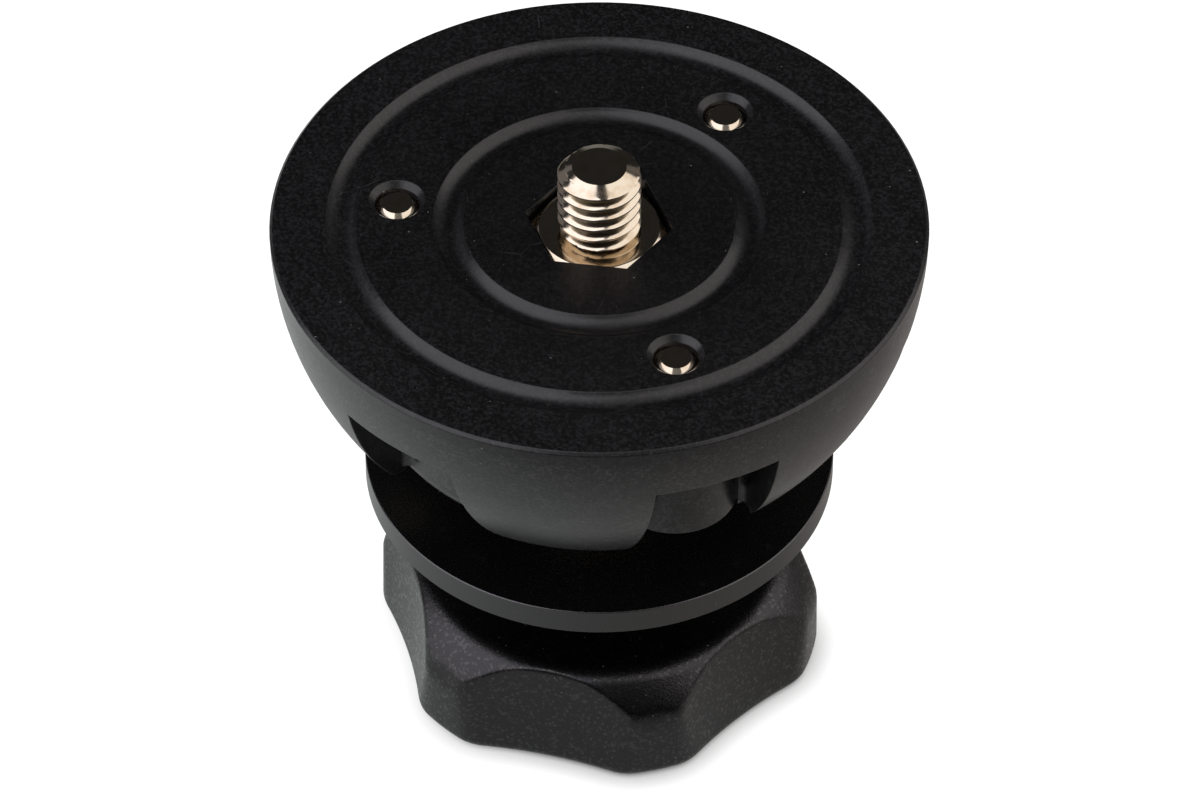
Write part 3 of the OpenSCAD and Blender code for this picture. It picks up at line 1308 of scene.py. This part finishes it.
    def cap(self) -> None:
        """Builds the cap under the knob, with a moulded ring and a gate dimple."""
        skin = Skin(self.cap_around)
        low, high = self.cap_span
        gate_z, groove_z = low + self.gate_depth, low + self.groove_depth
        gate_in, gate_flat, gate_rim = self.gate
        inner, floor_in, floor_out, outer = self.groove
        edge, ease = self.cap_radius, self.cap_chamfer
        outline = [
            (gate_in, gate_z),
            (gate_flat, gate_z),
            (gate_rim, low),
            (inner, low),
            (floor_in, groove_z),
            (floor_out, groove_z),
            (outer, low),
            (edge - ease, low),
            (edge, low + ease),
            (edge, high),
        ]
        skin.tube(skin.turned(outline))
        settle(skin.piece("moulded_cap"), Body.KNOB, Slot.CAP, CAP_PLASTIC, "knob_cap")

    def build(self) -> None:
        """Builds the grip and the cap, and dresses the insert."""
        self.grip()
        self.cap()
        dress("knob_insert", BRASS)


# Studio


@dataclass
class Softbox:
    """One large soft lamp, aimed at the adapter, with its sizes and place in metres."""

    name: str
    side: float
    back: float
    up: float
    width: float
    depth: float
    radiance: float
    tint: Triple

    def build(self, studio: "Studio") -> None:
        """Adds the lamp.

        Args:
            studio: Studio that gives the directions and the aim.
        """
        lamp = bpy.data.lights.new(self.name, "AREA")
        lamp.shape = "RECTANGLE"
        lamp.size, lamp.size_y = self.width, self.depth
        lamp.energy = self.radiance * math.pi * self.width * self.depth
        lamp.color = self.tint
        made = bpy.data.objects.new(self.name, lamp)
        bpy.context.scene.collection.objects.link(made)
        made.location = studio.right * self.side + studio.away * self.back + Vector((0, 0, self.up))
        made.rotation_euler = (studio.aim - made.location).to_track_quat("-Z", "Y").to_euler()
        made.visible_camera = False
        LOG.info("%s: lamp", self.name)


@dataclass
class Studio:
    """Pale floor, soft lamps, surroundings and camera.

    The camera's distance and sensor, the adapter's top, the floor's own sizes and the reach of
    the contact shadow are in millimetres. Other lengths are in metres.
    """

    azimuth: float = 8.5
    elevation: float = 43.47
    tilt: float = 1.38
    distance: float = 847.0
    focal_pixels: float = 7454.0
    picture_width: float = 1200.0
    centre_pixel: float = 599.3
    sensor: float = 36.0
    sight: float = 100.0
    top: float = 65.6
    aim_height: float = 0.04
    floor_radii: Triple = (0.0, 100.0, 5000.0)
    floor_drop: float = 0.05
    floor_around: int = 96
    floor_tint: Colour = (0.88, 0.88, 0.88, 1.0)
    white: Colour = (1.0, 1.0, 1.0, 1.0)
    glow: float = 0.82
    seen_white: float = 1.28
    contact: float = 3.6
    contact_samples: int = 8
    contact_left: Span = (0.0, 0.03)
    contact_lift: float = 0.7
    mirror_glow: float = 0.88
    mirror_left: float = 1.10
    mirror_right: float = 0.33
    mirror_span: float = 0.14
    mirror_cool: Colour = (0.965, 1.0, 0.985, 1.0)
    mirror_warm: Colour = (1.0, 0.93, 0.875, 1.0)
    mirror_turn: Span = (-0.01, 0.055)
    mirror_back: Span = (0.1, 0.5)
    mirror_front: Span = (0.03, 0.125)
    mirror_fade: float = 0.8
    mirror_near: Span = (0.03, 0.09)
    mirror_near_shade: float = 0.66
    dim: float = 0.02
    room_level: float = 0.26
    room: Span = (0.5, 0.8)
    horizon_level: float = 0.9
    horizon: Span = (0.14, 0.04)
    dark_back: Span = (0.1, 0.5)
    dark_front: Span = (0.4, 0.75)
    lamps: Tuple[Softbox, ...] = (
        Softbox("left_softbox", -0.5, -0.18, 0.6, 1.0, 1.28, 1.75, (0.97, 0.94, 1.0)),
        Softbox("right_softbox", 0.57, -0.04, 0.6, 1.15, 1.17, 1.35, (1.0, 0.95, 0.925)),
        Softbox("left_wing", -0.75, 0.7, 0.4, 0.5, 0.6, 0.16, (0.97, 0.94, 1.0)),
        Softbox("right_wing", 0.75, 0.7, 0.4, 0.5, 0.6, 0.12, (1.0, 0.96, 0.94)),
    )

    @property
    def right(self) -> Vector:
        """Direction to the camera's right, along the floor."""
        turn = math.radians(self.azimuth)
        return Vector((math.cos(turn), math.sin(turn), 0.0))

    @property
    def away(self) -> Vector:
        """Direction away from the camera, along the floor."""
        turn = math.radians(self.azimuth)
        return Vector((-math.sin(turn), math.cos(turn), 0.0))

    @property
    def aim(self) -> Vector:
        """Point that the lamps aim at."""
        return Vector((0.0, 0.0, self.aim_height))

    def backwards(self, east: Wire, north: Wire) -> Wire:
        """How far a place or direction lies away from the camera."""
        return east * self.away.x + north * self.away.y

    def mirrored_level(self, sheet: Sheet, spot: Wire) -> Wire:
        """Painted brightness of the floor in reflections, which falls off to the right and the ends,
        with painted shade near the knob.

        Args:
            sheet: Node tree of the floor.
            spot: Place on the floor.

        Returns:
            The level.
        """
        east, north, _ = sheet.split(spot)
        depth = self.backwards(east, north)
        ends = sheet.step(depth, *self.mirror_back) + sheet.step(-depth, *self.mirror_front)
        across = sheet.step(east, -self.mirror_span, self.mirror_span)
        slope = self.mirror_left + (self.mirror_right - self.mirror_left) * across
        # Painted shadow of the adapter: the floor grows darker in reflections near the knob.
        near = sheet.step(sheet.radius(spot), *self.mirror_near)
        near_shade = self.mirror_near_shade + (1.0 - self.mirror_near_shade) * near
        return slope * (1.0 - self.mirror_fade * ends) * near_shade

    def floor_light(self, sheet: Sheet, seen: Wire) -> Wire:
        """Light of the floor: white with a contact shadow when seen, graded when mirrored.

        Args:
            sheet: Node tree of the floor.
            seen: One for camera rays.

        Returns:
            The light's shader.
        """
        spot = sheet.spot()
        east = sheet.split(spot)[0]
        # Ambient occlusion paints the contact shadow into the floor's glow.
        touch = sheet.node(
            "ShaderNodeAmbientOcclusion",
            {"samples": self.contact_samples},
            {"Distance": self.contact * MM},
            "AO",
        )
        # Painted light: the painted contact shadow is made weaker on the left side.
        lift = self.contact_lift * (1.0 - touch) * sheet.step(-east, *self.contact_left)
        warm = sheet.step(east, *self.mirror_turn)
        mirrored = sheet.blend(warm, self.mirror_cool, self.mirror_warm)
        hue = sheet.blend(seen, mirrored, self.white)
        unseen = (1.0 - seen) * self.mirrored_level(sheet, spot)
        level = seen * self.seen_white * (touch + lift) + unseen
        return sheet.node("ShaderNodeEmission", inputs={"Color": sheet.scaled(hue, level)})

    def floor_paint(self) -> bpy.types.Material:
        """Material of the floor, clear from below.

        Returns:
            The material.
        """
        material = bpy.data.materials.new("floor_paint")
        material.use_nodes = True
        sheet = Sheet(material.node_tree)
        seen = sheet.node("ShaderNodeLightPath", output="Is Camera Ray")
        mirrored = seen.other("Is Glossy Ray") + seen.other("Is Transmission Ray")
        share = seen * self.glow + mirrored * self.mirror_glow
        paint = sheet.node("ShaderNodeBsdfDiffuse", inputs={"Color": self.floor_tint})
        light = self.floor_light(sheet, seen)
        lit = sheet.node("ShaderNodeMixShader", inputs={0: share, 1: paint, 2: light})
        under = sheet.node("ShaderNodeNewGeometry", output="Backfacing")
        clear = sheet.node("ShaderNodeBsdfTransparent")
        both = sheet.node("ShaderNodeMixShader", inputs={0: under, 1: lit, 2: clear})
        sheet.node("ShaderNodeOutputMaterial", inputs={"Surface": both})
        return material

    def floor(self) -> None:
        """Adds a pale floor that keeps the shadow, and follows the knob so that it stands on it."""
        skin = Skin(self.floor_around)
        skin.tube(skin.turned([(radius, -self.floor_drop) for radius in self.floor_radii]))
        made = skin.piece("floor", closed=False)
        made.data.materials.append(self.floor_paint())
        if made.data.polygons[0].normal.z < 0.0:
            made.data.flip_normals()
        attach(made, Body.CLAMP.value)
        LOG.info("%s: stage, rides on %s", made.name, Body.CLAMP.value)

    def surroundings(self) -> None:
        """Sets a world that is white to the camera, and pale only near the horizon."""
        world = bpy.data.worlds.new("studio_world")
        bpy.context.scene.world = world
        world.use_nodes = True
        sheet = Sheet(world.node_tree)
        east, north, up = sheet.split(sheet.node("ShaderNodeTexCoord", output="Generated"))
        back = self.backwards(east, north)
        front = sheet.step(-back, *self.dark_front)
        low = sheet.step(up, *self.horizon) * (1.0 - (sheet.step(back, *self.dark_back) + front))
        room = front * sheet.step(up, *self.room)
        seen = sheet.node("ShaderNodeLightPath", output="Is Camera Ray")
        unseen = self.dim + self.horizon_level * low + self.room_level * room
        level = sheet.scaled(self.white[:3], seen + (1.0 - seen) * unseen)
        shade = sheet.node("ShaderNodeBackground", inputs={"Color": level})
        sheet.node("ShaderNodeOutputWorld", inputs={"Surface": shade})

    def camera(self) -> None:
        """Adds the camera at the photograph's viewing angle."""
        lens = bpy.data.cameras.new("camera")
        made = bpy.data.objects.new("camera", lens)
        bpy.context.scene.collection.objects.link(made)
        rise, reach = math.radians(self.elevation), self.distance * MM
        made.location = (
            self.away * (-reach * math.cos(rise))
            + Vector((0.0, 0.0, self.top * MM + reach * math.sin(rise)))
        )
        down = math.radians(self.elevation + self.tilt)
        look = self.away * math.cos(down) - Vector((0.0, 0.0, math.sin(down)))
        made.rotation_euler = look.to_track_quat("-Z", "Y").to_euler()
        lens.sensor_width = self.sensor
        lens.lens = self.focal_pixels * self.sensor / self.picture_width
        lens.shift_x = (self.picture_width / 2 - self.centre_pixel) / self.picture_width
        lens.clip_end = self.sight
        bpy.context.scene.camera = made

    def build(self) -> None:
        """Sets the stage, the lamps and the camera."""
        bpy.context.scene.view_settings.view_transform = "Standard"
        self.camera()
        self.floor()
        self.surroundings()
        for lamp in self.lamps:
            lamp.build(self)


SCREW_ANGLES = {Body.SCREW_1: 180.0, Body.SCREW_2: 60.0, Body.SCREW_3: -60.0}


def main() -> None:
    """Builds every sub-assembly in order."""
    logging.basicConfig(level=logging.INFO, format="%(name)s %(message)s")
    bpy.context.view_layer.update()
    Studio().build()
    HalfBall().build()
    HeadStud().build()
    for body, angle in SCREW_ANGLES.items():
        SetScrew(body, angle).build()
    Clamp().build()
    Knob().build()


if __name__ == "__main__":
    main()
